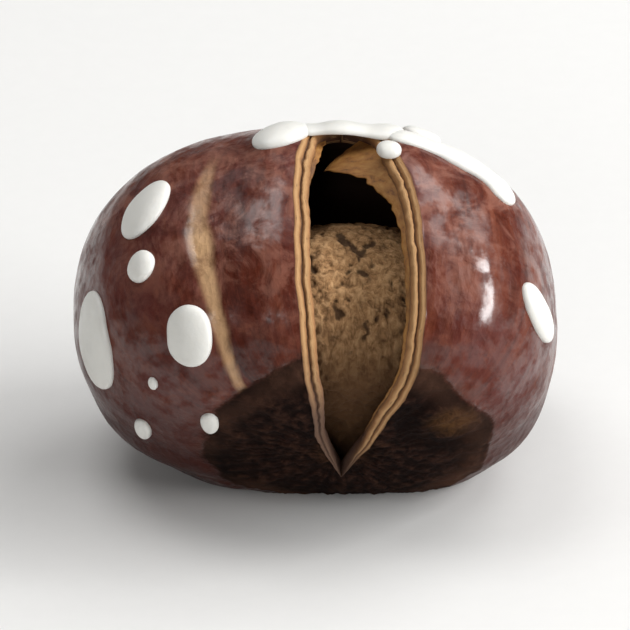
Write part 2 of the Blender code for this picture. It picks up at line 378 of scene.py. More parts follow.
class Graph:
    """A material's nodes, with short calls to add and join them."""

    def __init__(self, name: str) -> None:
        """Starts a material with its Principled shader.

        Args:
            name: The material's name.
        """
        self.material = bpy.data.materials.new(name)
        self.material.use_nodes = True
        self.tree = self.material.node_tree
        self.shader = self.tree.nodes["Principled BSDF"]

    def node(self, kind: str, **inputs: object) -> bpy.types.Node:
        """Adds a node.

        Args:
            kind: The node's type, without its leading "ShaderNode".
            **inputs: What goes into its sockets, by name with _ for a space: a value, or a socket to join.

        Returns:
            The new node.
        """
        made = self.tree.nodes.new("ShaderNode" + kind)
        for name, value in inputs.items():
            self.put(made.inputs[name.replace("_", " ")], value)
        return made

    def put(self, socket: bpy.types.NodeSocket, value: object) -> None:
        """Fills a socket.

        Args:
            socket: The socket.
            value: A number, a colour, or another socket to join to it.
        """
        if isinstance(value, bpy.types.NodeSocket):
            self.tree.links.new(value, socket)
        elif socket.type == "RGBA":
            socket.default_value = (*value, 1)
        else:
            socket.default_value = value

    def held(self, name: str) -> bpy.types.Node:
        """Adds a node that reads what the mesh holds at each point.

        Args:
            name: The name that the mesh holds it under.

        Returns:
            The node.
        """
        made = self.node("Attribute")
        made.attribute_name = name
        return made

    def mask(self, name: str) -> bpy.types.NodeSocket:
        """Returns a number that the mesh holds at each point."""
        return self.held(name).outputs["Fac"]

    def grain(self) -> bpy.types.NodeSocket:
        """Returns the place in the grain that the mesh holds at each point."""
        return self.held("grain").outputs["Vector"]

    def places(self) -> bpy.types.NodeSocket:
        """Returns the place on the object, in metres."""
        return self.node("TexCoord").outputs["Object"]

    def height(self, where: bpy.types.NodeSocket) -> bpy.types.NodeSocket:
        """Returns how high a place lies."""
        return self.node("SeparateXYZ", Vector=where).outputs["Z"]

    def cloud(
        self,
        where: bpy.types.NodeSocket,
        scale: float,
        detail: float = 4.0,
        rough: float = 0.6,
        bend: float = 0.0,
    ) -> bpy.types.NodeSocket:
        """Adds soft noise.

        Args:
            where: The place that it is read at.
            scale: How many clouds there are in a metre or a unit.
            detail: How many finer layers it has.
            rough: How strong the finer layers are.
            bend: How much it is warped.

        Returns:
            The noise, from 0 to 1.
        """
        made = self.node("TexNoise", Vector=where, Scale=scale, Detail=detail, Roughness=rough)
        made.inputs["Distortion"].default_value = bend
        return made.outputs["Fac"]

    def cells(self, where: bpy.types.NodeSocket, scale: float) -> bpy.types.NodeSocket:
        """Returns the distance pattern of scattered cells."""
        return self.node("TexVoronoi", Vector=where, Scale=scale).outputs["Distance"]

    def ramp(self, value: bpy.types.NodeSocket, *stops: tuple[float, Colour]) -> bpy.types.NodeSocket:
        """Picks colours along a run of stops.

        Args:
            value: Where in the run.
            *stops: Each stop's place and colour.

        Returns:
            The colour.
        """
        made = self.node("ValToRGB", Fac=value)
        bar = made.color_ramp.elements
        while len(bar) < len(stops):
            bar.new(0.5)
        for element, (place, colour) in zip(bar, stops):
            element.position = place
            element.color = (*colour, 1)
        return made.outputs["Color"]

    def span(
        self, value: bpy.types.NodeSocket, low: float, high: float, start: float = 0.0, end: float = 1.0
    ) -> bpy.types.NodeSocket:
        """Turns a value's run from low to high into a smooth run from start to end.

        Args:
            value: The value.
            low: Where its run starts.
            high: Where its run ends.
            start: What it is turned into at low.
            end: What it is turned into at high.

        Returns:
            The new value.
        """
        made = self.node("MapRange", Value=value)
        for name, number in (("From Min", low), ("From Max", high), ("To Min", start), ("To Max", end)):
            made.inputs[name].default_value = number
        made.interpolation_type = "SMOOTHSTEP"
        return made.outputs["Result"]

    def blend(self, share: object, first: object, second: object) -> bpy.types.NodeSocket:
        """Mixes two colours.

        Args:
            share: How much of the second shows.
            first: The first colour.
            second: The second colour.

        Returns:
            The mixed colour.
        """
        made = self.tree.nodes.new("ShaderNodeMix")
        made.data_type = "RGBA"
        for index, value in ((0, share), (6, first), (7, second)):
            self.put(made.inputs[index], value)
        return made.outputs[2]

    def sum(self, how: str, first: object, second: object) -> bpy.types.NodeSocket:
        """Joins two numbers by a rule.

        Args:
            how: The rule, such as ADD or MULTIPLY.
            first: The first number.
            second: The second number.

        Returns:
            The result.
        """
        made = self.tree.nodes.new("ShaderNodeMath")
        made.operation = how
        self.put(made.inputs[0], first)
        self.put(made.inputs[1], second)
        return made.outputs[0]

    def raise_by(
        self, height: bpy.types.NodeSocket, depth: float, below: bpy.types.NodeSocket | None = None
    ) -> bpy.types.NodeSocket:
        """Adds a fine relief.

        Args:
            height: Its height, from 0 to 1.
            depth: What a height of 1 measures.
            below: Another relief that it is laid over.

        Returns:
            The surface directions.
        """
        made = self.node("Bump", Height=height, Distance=depth, Strength=1.0)
        if below is not None:
            self.put(made.inputs["Normal"], below)
        return made.outputs["Normal"]

    def finish(self, **inputs: object) -> bpy.types.Material:
        """Fills the shader's own sockets.

        Args:
            **inputs: What goes into them, by name with _ for a space.

        Returns:
            The material.
        """
        for name, value in inputs.items():
            self.put(self.shader.inputs[name.replace("_", " ")], value)
        return self.material


@dataclass(frozen=True)
class RoastedSkin:
    """The shell's glossy mahogany outside, streaked from tip to scar, with the dull woven scar."""

    deep: Colour = (0.030, 0.0045, 0.0025)
    mid: Colour = (0.092, 0.0175, 0.0085)
    warm: Colour = (0.175, 0.048, 0.024)
    plum: Colour = (0.105, 0.028, 0.023)
    # painted sheen: a pale pinkish brown mixed over the top of the skin
    painted_sheen: Colour = (0.28, 0.12, 0.085)
    stripe: Colour = (0.58, 0.355, 0.185)
    stripe_low: Colour = (0.25, 0.125, 0.05)
    scar_dark: Colour = (0.0045, 0.0021, 0.0017)
    scar_mid: Colour = (0.024, 0.0098, 0.0064)
    scar_pale: Colour = (0.058, 0.027, 0.016)
    scar_heart: Colour = (0.125, 0.058, 0.020)
    rim: Colour = (0.105, 0.050, 0.032)
    felt: Colour = (0.28, 0.21, 0.16)

    def material(self) -> bpy.types.Material:
        """Mixes the skin and the scar by the masks that the shell's mesh holds.

        Returns:
            The material.
        """
        g = Graph("roasted_skin")
        grain, where = g.grain(), g.places()
        ragged = g.sum("ADD", g.mask("scar"), g.span(g.cloud(where, 330, 6.0, 0.7), 0.2, 0.8, -0.4, 0.4))
        scar = g.span(ragged, 0.2, 0.8)
        threads, hairs = g.cloud(grain, 5.0, 5.0, 0.7), g.cloud(grain, 15.0, 3.0, 0.7)
        colour = g.blend(scar, self.skin(g, grain, where, threads, hairs), self.bark(g, where))
        colour = g.blend(g.mask("rim"), colour, self.rim)
        gloss = g.span(g.cloud(where, 420, 5.0), 0.3, 0.7, 0.27, 0.42)
        rough = g.sum("MAXIMUM", gloss, g.sum("MULTIPLY", scar, 0.92))
        rough = g.sum("MAXIMUM", rough, g.sum("MULTIPLY", g.mask("felt"), 0.8))
        rough = g.sum("MAXIMUM", rough, g.sum("MULTIPLY", g.mask("stripe"), 0.5))
        wrinkles = g.node("Mapping", Vector=where, Scale=(1.0, 0.65, 0.65)).outputs["Vector"]
        fine = g.raise_by(g.cloud(wrinkles, 640, 4.0, 0.6, 0.4), 0.12 * MM)
        fine = g.raise_by(g.cells(wrinkles, 2200), 0.06 * MM, fine)
        fine = g.raise_by(threads, 0.018 * MM, fine)
        fine = g.raise_by(hairs, 0.007 * MM, fine)
        fine = g.raise_by(g.cloud(where, 1300, 3.0), 0.014 * MM, fine)
        crust = g.sum("MULTIPLY", scar, g.cloud(where, 2400, 6.0, 0.8))
        fine = g.raise_by(crust, 0.16 * MM, fine)
        shine = g.span(g.cloud(where, 900, 5.0), 0.38, 0.6, 0.08, 0.85)
        shine = g.sum("MULTIPLY", g.span(rough, 0.5, 0.44), shine)
        shine = g.sum("MULTIPLY", g.span(g.height(where), 2 * MM, 12 * MM, 0.12, 1.0), shine)
        return g.finish(
            Base_Color=colour, Roughness=rough, Normal=fine, IOR=1.36, Specular_IOR_Level=0.12,
            Coat_Weight=shine, Coat_Roughness=0.16,
        )

    def skin(
        self,
        g: Graph,
        grain: bpy.types.NodeSocket,
        where: bpy.types.NodeSocket,
        threads: bpy.types.NodeSocket,
        hairs: bpy.types.NodeSocket,
    ) -> bpy.types.NodeSocket:
        """Colours the glossy skin, with a painted sheen over its top and painted shade towards the bottom.

        Args:
            g: The material's nodes.
            grain: The place in the grain, drawn out from tip to scar.
            where: The place on the object.
            threads: Noise in narrow streaks.
            hairs: Noise in the narrowest streaks.

        Returns:
            The skin's colour.
        """
        streaks = g.cloud(grain, 0.8, 7.0, 0.62, 0.5)
        skin = g.ramp(streaks, (0.3, self.deep), (0.5, self.mid), (0.74, self.warm))
        skin = g.blend(g.span(g.cloud(where, 170, 4.0), 0.4, 0.66, 0.0, 0.8), skin, self.plum)
        skin = g.blend(g.span(threads, 0.54, 0.74, 0.0, 0.4), skin, self.warm)
        skin = g.blend(g.span(threads, 0.26, 0.44, 0.4, 0.0), skin, self.deep)
        skin = g.blend(g.span(hairs, 0.55, 0.75, 0.0, 0.22), skin, self.warm)
        mottle = g.cloud(where, 560, 6.0, 0.68, 0.6)
        skin = g.blend(g.span(mottle, 0.54, 0.7, 0.0, 0.5), skin, self.warm)
        skin = g.blend(g.span(mottle, 0.28, 0.45, 0.55, 0.0), skin, self.deep)
        skin = g.blend(g.span(g.cloud(where, 1300, 5.0, 0.7), 0.52, 0.72, 0.0, 0.4), skin, self.deep)
        height = g.height(where)
        # painted sheen: the top of the skin is mixed towards a pale pinkish brown where the lamps'
        # reflection would show
        top_sheen = g.sum("MULTIPLY", g.span(height, 11 * MM, 19 * MM), g.span(mottle, 0.42, 0.62, 0.0, 0.6))
        skin = g.blend(top_sheen, skin, self.painted_sheen)
        # painted shade: the skin is darkened towards the bottom
        skin = g.blend(g.span(height, 2 * MM, 12 * MM, 0.85, 0.0), skin, self.deep)
        worn = g.sum("MULTIPLY", g.mask("stripe"), g.span(mottle, 0.32, 0.56, 0.5, 1.0))
        tan = g.blend(g.span(height, 6 * MM, 12 * MM), self.stripe_low, self.stripe)
        skin = g.blend(worn, skin, tan)
        return g.blend(g.mask("felt"), skin, self.felt)

    def bark(self, g: Graph, where: bpy.types.NodeSocket) -> bpy.types.NodeSocket:
        """Colours the scar: nearly black in its pits as painted shade, and grey-tan on its bumps as painted
        highlight.

        Args:
            g: The material's nodes.
            where: The place on the object.

        Returns:
            The scar's colour.
        """
        weave = g.cloud(where, 1500, 8.0, 0.75, 0.8)
        relief = g.mask("relief")
        bark = g.ramp(weave, (0.36, self.scar_dark), (0.52, self.scar_mid), (0.68, self.scar_pale))
        # painted shade in the pits and painted highlight on the bumps, read from the relief
        bark = g.blend(g.span(relief, 0.1, 0.5, 0.7, 0.0), bark, self.scar_dark)
        bark = g.blend(g.span(relief, 0.55, 0.95, 0.0, 0.4), bark, self.scar_pale)
        bark = g.blend(g.span(g.cloud(where, 240, 4.0), 0.5, 0.75, 0.0, 0.55), bark, self.scar_dark)
        worn = g.span(weave, 0.36, 0.6, 0.2, 1.0)
        heart = g.sum("MULTIPLY", g.span(g.mask("heart"), 0.05, 0.9, 0.0, 0.9), worn)
        return g.blend(heart, bark, self.scar_heart)


@dataclass(frozen=True)
class TornEdge:
    """The broken edge of the shell: dry tan layers with brown between them, darkened near the lips' lower
    ends as painted shade.
    """

    pale: Colour = (0.58, 0.335, 0.145)
    tan: Colour = (0.35, 0.165, 0.058)
    brown: Colour = (0.075, 0.027, 0.011)
    shade_brown: Colour = (0.105, 0.052, 0.034)

    def material(self) -> bpy.types.Material:
        """Colours the layers by how far they lie into the break, with torn fibres across them.

        Returns:
            The material.
        """
        g = Graph("torn_edge")
        where, torn = g.places(), g.grain()
        layers = g.ramp(
            g.mask("layer"),
            (0.0, self.brown), (0.07, self.tan), (0.18, self.pale), (0.28, self.tan),
            (0.38, self.brown), (0.5, self.tan), (0.62, self.pale), (0.74, self.tan), (0.9, self.brown),
        )
        fibres = g.cloud(torn, 1.0, 6.0, 0.75)
        colour = g.blend(g.span(fibres, 0.3, 0.46, 0.8, 0.0), layers, self.brown)
        colour = g.blend(g.span(fibres, 0.55, 0.7, 0.0, 0.7), colour, self.pale)
        colour = g.blend(g.span(g.cloud(where, 420, 4.0), 0.5, 0.75, 0.0, 0.5), colour, self.tan)
        # painted shade: the lips' lower ends are mixed towards dark brown
        colour = g.blend(g.mask("faded"), colour, self.shade_brown)
        relief = g.raise_by(fibres, 0.1 * MM)
        relief = g.raise_by(g.cloud(where, 3500, 4.0), 0.02 * MM, relief)
        return g.finish(Base_Color=colour, Roughness=0.75, Normal=relief)


@dataclass(frozen=True)
class PaperyLining:
    """The thin orange-tan lining that shows past the shell's lips."""

    tan: Colour = (0.29, 0.118, 0.022)
    pale: Colour = (0.40, 0.20, 0.05)
    brown: Colour = (0.085, 0.031, 0.010)

    def material(self) -> bpy.types.Material:
        """Mottles the lining along its torn fibres.

        Returns:
            The material.
        """
        g = Graph("papery_lining")
        fibres = g.cloud(g.grain(), 0.8, 6.0, 0.7)
        colour = g.ramp(fibres, (0.3, self.brown), (0.44, self.tan), (0.68, self.pale))
        shaded = g.span(g.cloud(g.places(), 330, 4.0), 0.46, 0.7, 0.0, 0.7)
        colour = g.blend(shaded, colour, self.brown)
        return g.finish(Base_Color=colour, Roughness=0.65, Normal=g.raise_by(fibres, 0.05 * MM))


@dataclass(frozen=True)
class InnerWall:
    """The shell's inside: orange-tan beside the lips, and dark brown deeper in as painted shade."""

    tan: Colour = (0.33, 0.17, 0.065)
    brown: Colour = (0.050, 0.021, 0.011)

    def material(self) -> bpy.types.Material:
        """Darkens the wall away from the lips as painted shade, in soft patches.

        Returns:
            The material.
        """
        g = Graph("inner_wall")
        where = g.places()
        patches = g.cloud(where, 420, 5.0, 0.65)
        near = g.sum("MULTIPLY", g.mask("near"), g.span(patches, 0.3, 0.6, 0.4, 1.0))
        # painted shade: away from the lips the wall is mixed towards dark brown
        colour = g.blend(near, self.brown, self.tan)
        return g.finish(Base_Color=colour, Roughness=0.7, Normal=g.raise_by(patches, 0.1 * MM))


@dataclass(frozen=True)
class FibrousSkin:
    """The kernel's dry tan skin, matted with fibres."""

    pale: Colour = (0.66, 0.405, 0.20)
    tan: Colour = (0.40, 0.218, 0.095)
    brown: Colour = (0.105, 0.049, 0.020)
    pit: Colour = (0.032, 0.016, 0.009)

    def material(self) -> bpy.types.Material:
        """Colours the relief, darkest in the pits and creases as painted shade, with fine crossing fibres
        over it.

        Returns:
            The material.
        """
        g = Graph("fibrous_skin")
        where = g.places()
        drawn = g.node("Mapping", Vector=where, Rotation=(0.5, 0.0, 0.3), Scale=(1.0, 1.0, 0.34))
        fibres = g.cloud(drawn.outputs["Vector"], 2600, 7.0, 0.78, 0.8)
        colour = g.ramp(fibres, (0.34, self.brown), (0.5, self.tan), (0.64, self.pale))
        relief = g.mask("relief")
        # painted highlight on the raised fibres and painted shade in the pits and creases, read from the
        # relief
        colour = g.blend(g.span(relief, 0.6, 1.0, 0.0, 0.6), colour, self.pale)
        colour = g.blend(g.span(relief, 0.05, 0.45, 0.85, 0.0), colour, self.pit)
        colour = g.blend(g.span(g.cloud(where, 260, 3.0), 0.5, 0.75, 0.0, 0.35), colour, self.brown)
        # painted shade: the kernel is darkened towards the bottom
        colour = g.blend(g.span(g.height(where), 8.5 * MM, 16.0 * MM, 0.96, 0.0), colour, self.brown)
        bump = g.raise_by(fibres, 0.15 * MM)
        return g.finish(Base_Color=colour, Roughness=0.9, Normal=bump, Specular_IOR_Level=0.25)


@dataclass(frozen=True)
class DriedGlaze:
    """White sugar glaze, dried to a soft shine, a little grey where it is thin."""

    white: Colour = (0.78, 0.77, 0.725)
    shade: Colour = (0.60, 0.585, 0.54)

    def material(self) -> bpy.types.Material:
        """Gives the glaze faint clouds, pits and a soft shine.

        Returns:
            The material.
        """
        g = Graph("dried_glaze")
        where = g.places()
        cloud = g.cloud(where, 500, 5.0)
        colour = g.blend(g.span(cloud, 0.5, 0.8, 0.0, 0.5), self.white, self.shade)
        rough = g.span(g.cloud(where, 900, 3.0), 0.3, 0.7, 0.3, 0.5)
        bump = g.raise_by(g.cloud(where, 1400, 4.0), 0.03 * MM)
        return g.finish(
            Base_Color=colour, Roughness=rough, Normal=bump,
            Subsurface_Weight=0.2, Subsurface_Radius=(1.0, 0.9, 0.8), Subsurface_Scale=0.6 * MM,
        )


@dataclass(frozen=True)
class PalePaper:
    """The studio floor's matt, nearly white paper."""

    tone: Colour = (0.82, 0.815, 0.80)

    def material(self) -> bpy.types.Material:
        """Gives the paper its tone and a faint tooth.

        Returns:
            The material.
        """
        g = Graph("pale_paper")
        tooth = g.cloud(g.places(), 900, 3.0)
        darker = tuple(part * 0.97 for part in self.tone)
        colour = g.blend(tooth, self.tone, darker)
        return g.finish(Base_Color=colour, Roughness=0.9)


class MeshBuilder:
    """Gathers points, faces and point values, and makes an object of them."""

    def __init__(self, name: str) -> None:
        """Starts with no points.

        Args:
            name: The name of the object that is made.
        """
        self.name = name
        self.points: list[Vector] = []
        self.faces: list[tuple[int, ...]] = []
        self.finishes: list[int] = []
        self.values: dict[str, list[float]] = {}
        self.grain: list[Vector] = []

    def point(self, place: Vector, grain: Vector | None = None, **values: float) -> int:
        """Adds a point.

        Args:
            place: Where it is.
            grain: Its place in the grain, where its finish follows one.
            **values: The numbers that it holds for its finish, by name.

        Returns:
            The point's number.
        """
        number = len(self.points)
        self.points.append(place)
        self.grain.append(grain or Vector())
        for name, value in values.items():
            self.values.setdefault(name, [0.0] * number).append(value)
        for column in self.values.values():
            if len(column) <= number:
                column.append(0.0)
        return number

    def strip(self, first: list[int], second: list[int], finish: int = 0) -> None:
        """Joins two rows of points, of the same length, with faces.

        Args:
            first: One row's points.
            second: The other row's points.
            finish: Which of the materials the faces have.
        """
        for i in range(len(first) - 1):
            corners = (first[i], first[i + 1], second[i + 1], second[i])
            self.faces.append(corners)
            self.finishes.append(finish)

    def make(self, centre: Vector, finishes: list[bpy.types.Material]) -> bpy.types.Object:
        """Makes the object, with points that share a place welded.

        Args:
            centre: What is added to every point.
            finishes: The materials, in the order that the faces number them.

        Returns:
            The new object, shaded smooth and linked to the scene.
        """
        mesh = bpy.data.meshes.new(self.name)
        mesh.from_pydata([place + centre for place in self.points], [], self.faces)
        for name, column in self.values.items():
            mesh.attributes.new(name, "FLOAT", "POINT").data.foreach_set("value", column)
        flat = [number for place in self.grain for number in place]
        mesh.attributes.new("grain", "FLOAT_VECTOR", "POINT").data.foreach_set("vector", flat)
        mesh.polygons.foreach_set("material_index", self.finishes)
        for finish in finishes:
            mesh.materials.append(finish)
        bm = bmesh.new()
        bm.from_mesh(mesh)
        bmesh.ops.remove_doubles(bm, verts=bm.verts, dist=WELD)
        bmesh.ops.recalc_face_normals(bm, faces=bm.faces)
        bm.to_mesh(mesh)
        bm.free()
        mesh.shade_smooth()
        thing = bpy.data.objects.new(self.name, mesh)
        bpy.context.scene.collection.objects.link(thing)
        return thing


def settle(piece: bpy.types.Object, slot: str, *nodes: str) -> None:
    """Ties a piece to the nut's one body.

    Args:
        piece: The piece.
        slot: Not used.
        *nodes: The solids that it stands for.
    """
    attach(piece, "root")
    if nodes:
        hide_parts(*nodes)
    log.info("%s: %d faces", piece.name, len(piece.data.polygons))


@dataclass
class ShellWall:
    """The hollow shell: its outside, its torn lips and its inside, as one closed wall."""

    form: NutForm
    split: Split
    wall: float = 0.9 * MM
    cap_rows: int = 9
    split_rows: int = 200
    outside_columns: int = 240
    edge_columns: int = 22
    inside_columns: int = 60
    # A lip's section from the skin to the inner wall: shares of the break's width, and of the wall's depth
    edge_section: Places = (
        (0, 0), (0.08, 0.01), (0.2, 0.06), (0.34, 0.12), (0.42, 0.24), (0.48, 0.33), (0.56, 0.31),
        (0.65, 0.21), (0.78, 0.19), (0.97, 0.26), (1.08, 0.44), (1.06, 0.68), (0.95, 0.85), (0.75, 0.96)
    )
    edge_fray: float = 0.09
    # How far down each lip the painted shade starts to darken its tan, and where the tan has gone under it
    shade_spans: dict[Lip, tuple[float, float]] = field(
        default_factory=lambda: {Lip.RIGHT: (0.8, 0.97), Lip.LEFT: (0.52, 0.74)}
    )
    tan_reach: float = 2.5 * MM
    skin_wave: float = 0.035 * MM
    # Where the scar's colour ends, as shares of its radius, and how far it reaches past that to the right
    scar_fade: tuple[float, float] = (0.93, 1.09)
    scar_shift: float = 0.09
    scar_wander: float = 0.035
    scar_relief: float = 0.2 * MM
    # The worn patch: how far its colour and its raised middle reach, and the ring round it, which is sunk
    # and painted darker as shade, in mm
    patch_colour: tuple[float, float] = (0.2, 2.2)
    patch_middle: tuple[float, float] = (1.3, 2.2)
    patch_ring: float = 2.55
    patch_height: float = 0.16 * MM
    rim_height: float = 0.06 * MM
    stripe_depth: float = 0.07 * MM
    # The pale stripe beside the split: heights in the front view, and how far left of the middle, in mm
    stripe: Places = (
        (-5.2, -3.4), (-4.3, -3.9), (-2.65, -4.7), (-0.96, -5.1), (0.5, -5.5), (2.65, -6.0), (5.1, -6.3),
        (7.5, -5.8), (8.6, -5.2)
    )
    # Half the stripe's width at those heights, in mm
    stripe_widths: Places = (
        (-5.2, 0.24), (-3, 0.3), (0, 0.38), (2, 0.52), (3.5, 0.62), (5, 0.6), (6.5, 0.42), (8.6, 0.3)
    )
    # How strongly the stripe shows at those heights
    stripe_strengths: Places = (
        (-5.2, 0.55), (-3, 0.75), (0, 0.8), (2, 0.9), (3.4, 1.0), (5, 0.7), (7, 0.5), (8.6, 0.2)
    )
    # Where the scar's worn patch shows in the front view, across and up, in mm
    patch_place: tuple[float, float] = (7.2, -5.75)
    felt_reach: float = math.radians(9)
    grain_round: float = 9.0
    grain_down: float = 1.1
    inside_depth: float = 1.03
    inside_start: float = 0.55

    def __post_init__(self) -> None:
        """Finds the middle of the scar's worn patch."""
        across, up = self.patch_place
        self.patch_point = self.split.surface_at(across * MM, up * MM)

    def rows(self) -> list[tuple[float, float | None]]:
        """Lists the wall's rows, from one end of the split's axis to the other.

        Returns:
            Each row's polar angle, and how far it lies down the split, or None beyond its ends.
        """
        cap, arc = self.split.cap, self.split.arc
        rows = [(cap * i / self.cap_rows, None) for i in range(self.cap_rows)]
        for i in range(self.split_rows + 1):
            share = i / self.split_rows
            share -= 0.05 * math.sin(2 * math.pi * share)
            rows.append((cap + arc * share, share))
        for i in reversed(range(self.cap_rows)):
            rows.append((math.pi - cap * i / self.cap_rows, None))
        return rows

    def grain_at(self, way: Vector) -> Vector:
        """Finds the place in the grain, which is drawn out from tip to scar.

        Args:
            way: The direction from the centre.

        Returns:
            The place in the grain.
        """
        down = way.dot(self.form.scar)
        level = way - self.form.scar * down
        if level.length > 1e-6:
            level.normalize()
        return level * self.grain_round + self.form.scar * down * self.grain_down

    def stripe_share(self, point: Vector) -> float:
        """Finds how far a point lies in the pale stripe beside the split.

        Args:
            point: The point of the shell's outside.

        Returns:
            The share, from 0 beside the stripe to 1 in it.
        """
        up = point.dot(self.form.view_up) / MM
        if point.dot(self.form.view) < 0 or not self.stripe[0][0] < up < self.stripe[-1][0]:
            return 0.0
        middle = through(self.stripe, up) * MM
        ends = smooth_step(self.stripe[0][0], self.stripe[0][0] + 1.5, up)
        ends *= 1 - smooth_step(self.stripe[-1][0] - 1.5, self.stripe[-1][0], up)
        wander = 0.1 * MM * noise.noise(Vector((up * 0.6, 3.0, 0)))
        width = through(self.stripe_widths, up) * MM * (1 + 0.25 * noise.noise(Vector((up * 0.7, 8.0, 0))))
        strength = through(self.stripe_strengths, up)
        return (1 - smooth_step(0.45, 1.35, abs(point.x - middle - wander) / width)) * ends * strength

    def scar_spread(self, way: Vector, radius: float, turn: float) -> float:
        """Returns how far from the scar's middle a direction points.

        Args:
            way: The direction from the centre.
            radius: The distance to the shell's outside there.
            turn: The direction's bearing round the scar's middle.

        Returns:
            The distance as a share of the scar's radius there, or 2 on the far side of the nut.
        """
        down = way.dot(self.form.scar)
        if down <= 0:
            return 2.0
        off_axis = math.sqrt(max(0, 1 - down * down))
        ring = Vector((math.cos(turn), math.sin(turn), 0)) * 2.2
        reach = 1 + self.scar_shift * math.sin(turn) + self.scar_wander * noise.noise(ring * 1.6)
        return radius * off_axis / self.form.scar_radius / reach

    def crust(self, point: Vector, turn: float, spread: float) -> float:
        """Works out the scar's rough relief, which runs in spokes from its middle.

        Args:
            point: The place on the shell's outside.
            turn: Its bearing round the scar's middle.
            spread: How far out it lies, as a share of the scar's radius.

        Returns:
            The relief, from 0 in a pit to 1 on a bump.
        """
        spokes = noise.noise(Vector((math.cos(turn) * 16, math.sin(turn) * 16, spread * 2.5)))
        lumps = noise.noise(point * 700)
        grit = noise.turbulence(point * 2100, 4, False)
        return clamp(0.3 + 0.45 * spokes + 0.3 * lumps + 0.5 * grit)

    def outside(self, way: Vector) -> tuple[Vector, dict[str, float]]:
        """Finds a point of the shell's outside, with its fine relief.

        Args:
            way: The direction from the centre.

        Returns:
            The point, and the values that its finish is mixed by.
        """
        form = self.form
        radius = form.shell_radius(way)
        point = form.leaned(way * (radius + self.split.lip_lift(way, radius)))
        turn = math.atan2(way.dot(SIDE), way.dot(form.broad))
        spread = self.scar_spread(way, radius, turn)
        scar = 1 - smooth_step(*self.scar_fade, spread)
        rim = bell(spread - self.scar_fade[0], 0.1) * clamp(0.45 + 0.9 * noise.noise(point * 300))
        relief = self.crust(point, turn, spread) if scar > 0 else 0.0
        stripe = self.stripe_share(point)
        patch = (point - self.patch_point).length / MM + 0.35 * noise.noise(point / MM * 0.9)
        heart = 0.4 * bell(spread, 0.25) if way.dot(form.scar) > 0 else 0.0
        heart = max(heart, 0.7 * (1 - smooth_step(*self.patch_colour, patch))) * scar
        # the ring round the patch is sunk, and its lower relief darkens the scar's colour there as painted
        # shade
        relief -= 0.8 * bell(patch - self.patch_ring, 0.5) * scar
        raised = self.skin_wave * noise.fractal(point * 330, 0.7, 2.1, 4) * (1 - scar)
        raised += self.scar_relief * (relief - 0.5) * scar
        raised += self.rim_height * rim * scar - self.stripe_depth * stripe
        raised += self.patch_height * (1 - smooth_step(*self.patch_middle, patch)) * scar
        if point.z < -form.foot_depth + 0.02 * MM:
            raised = 0.0
        from_tip = math.acos(clamp(-way.dot(form.scar), -1))
        felt = bell(from_tip, self.felt_reach * (1 + 0.25 * noise.noise(point * 500)))
        values = {"scar": scar, "rim": clamp(rim) * 0.8, "relief": relief, "felt": felt * 0.85}
        values |= {"stripe": clamp(stripe), "heart": clamp(heart)}
        place = point + way * raised
        place.z = max(place.z, -form.foot_depth)
        return place, values

    def edge(self, lip: Lip, polar: float, share: float, count: int) -> list[Vector]:
        """Works out one row across a broken edge, from the outside to the inside.

        Args:
            lip: Which edge.
            polar: The row's polar angle.
            share: How far down the split the row lies.
            count: The number of points.

        Returns:
            The points.
        """
        right, left, bevel = self.split.lips(share)
        start = right if lip is Lip.RIGHT else left
        open_share = bevel / self.split.bevel
        across = tuple(enumerate(spot[0] for spot in self.edge_section))
        depth = tuple(enumerate(spot[1] for spot in self.edge_section))
        found = []
        for i in range(1, count):
            into = i / (count - 1)
            place = into * (len(self.edge_section) - 1)
            along = share * self.split.length / MM
            fray = noise.noise(Vector((along * 1.9, into * 2.2, lip.value * 4.0)))
            fray += 0.6 * noise.noise(Vector((along * 5.5, into * 5, lip.value * 7.0)))
            fray *= self.edge_fray * math.sin(math.pi * into) * (0.5 + into)
            offset = (through(across, place) + fray) * bevel
            sunk = (through(depth, place) + 0.6 * fray) * self.wall * open_share
            sunk += smooth_step(0.8, 1, into) * (1 - open_share) * self.wall
            way = self.split.way(polar, self.split.turn_to(start - lip.value * offset, polar))
            radius = self.form.shell_radius(way)
            lift = self.split.lip_lift(way, radius)
            found.append(self.form.leaned(way * (radius + lift - sunk)))
        return found

    def inside(self, way: Vector) -> Vector:
        """Finds a point of the shell's inside.

        Args:
            way: The direction from the centre.

        Returns:
            The point.
        """
        radius = self.form.shell_radius(way)
        lift = self.split.lip_lift(way, radius)
        return self.form.leaned(way * (radius + lift - self.inside_depth * self.wall))

    def outside_row(self, mesh: MeshBuilder, polar: float, right: float, left: float) -> list[int]:
        """Adds one row of the outside, from the right lip round the back to the left one.

        Args:
            mesh: The wall's mesh.
            polar: The row's polar angle.
            right: The right lip's place.
            left: The left lip's place.

        Returns:
            The numbers of the row's points.
        """
        start, end = 0.0, 2 * math.pi
        if right > left:
            start, end = self.split.turn_to(right, polar), self.split.turn_to(left, polar) + end
        row = []
        for column in range(self.outside_columns + 1):
            share = column / self.outside_columns
            crowded = share - 0.07 * math.sin(2 * math.pi * share)
            way = self.split.way(polar, start + (end - start) * crowded)
            place, values = self.outside(way)
            row.append(mesh.point(place, self.grain_at(way), **values))
        return row

    def edge_row(self, mesh: MeshBuilder, lip: Lip, polar: float, share: float) -> list[int]:
        """Adds one row across a broken edge.

        Args:
            mesh: The wall's mesh.
            lip: Which edge.
            polar: The row's polar angle.
            share: How far down the split the row lies.

        Returns:
            The numbers of the row's points, without the one that the outside has.
        """
        row = []
        # how much painted shade darkens this row of the lip
        faded = 0.9 * smooth_step(*self.shade_spans[lip], share)
        for number, place in enumerate(self.edge(lip, polar, share, self.edge_columns), 1):
            into = number / (self.edge_columns - 1)
            torn = Vector((share * self.split.length / MM * 1.4, into * 14, lip.value * 9))
            row.append(mesh.point(place, torn, layer=into, faded=faded))
        return row

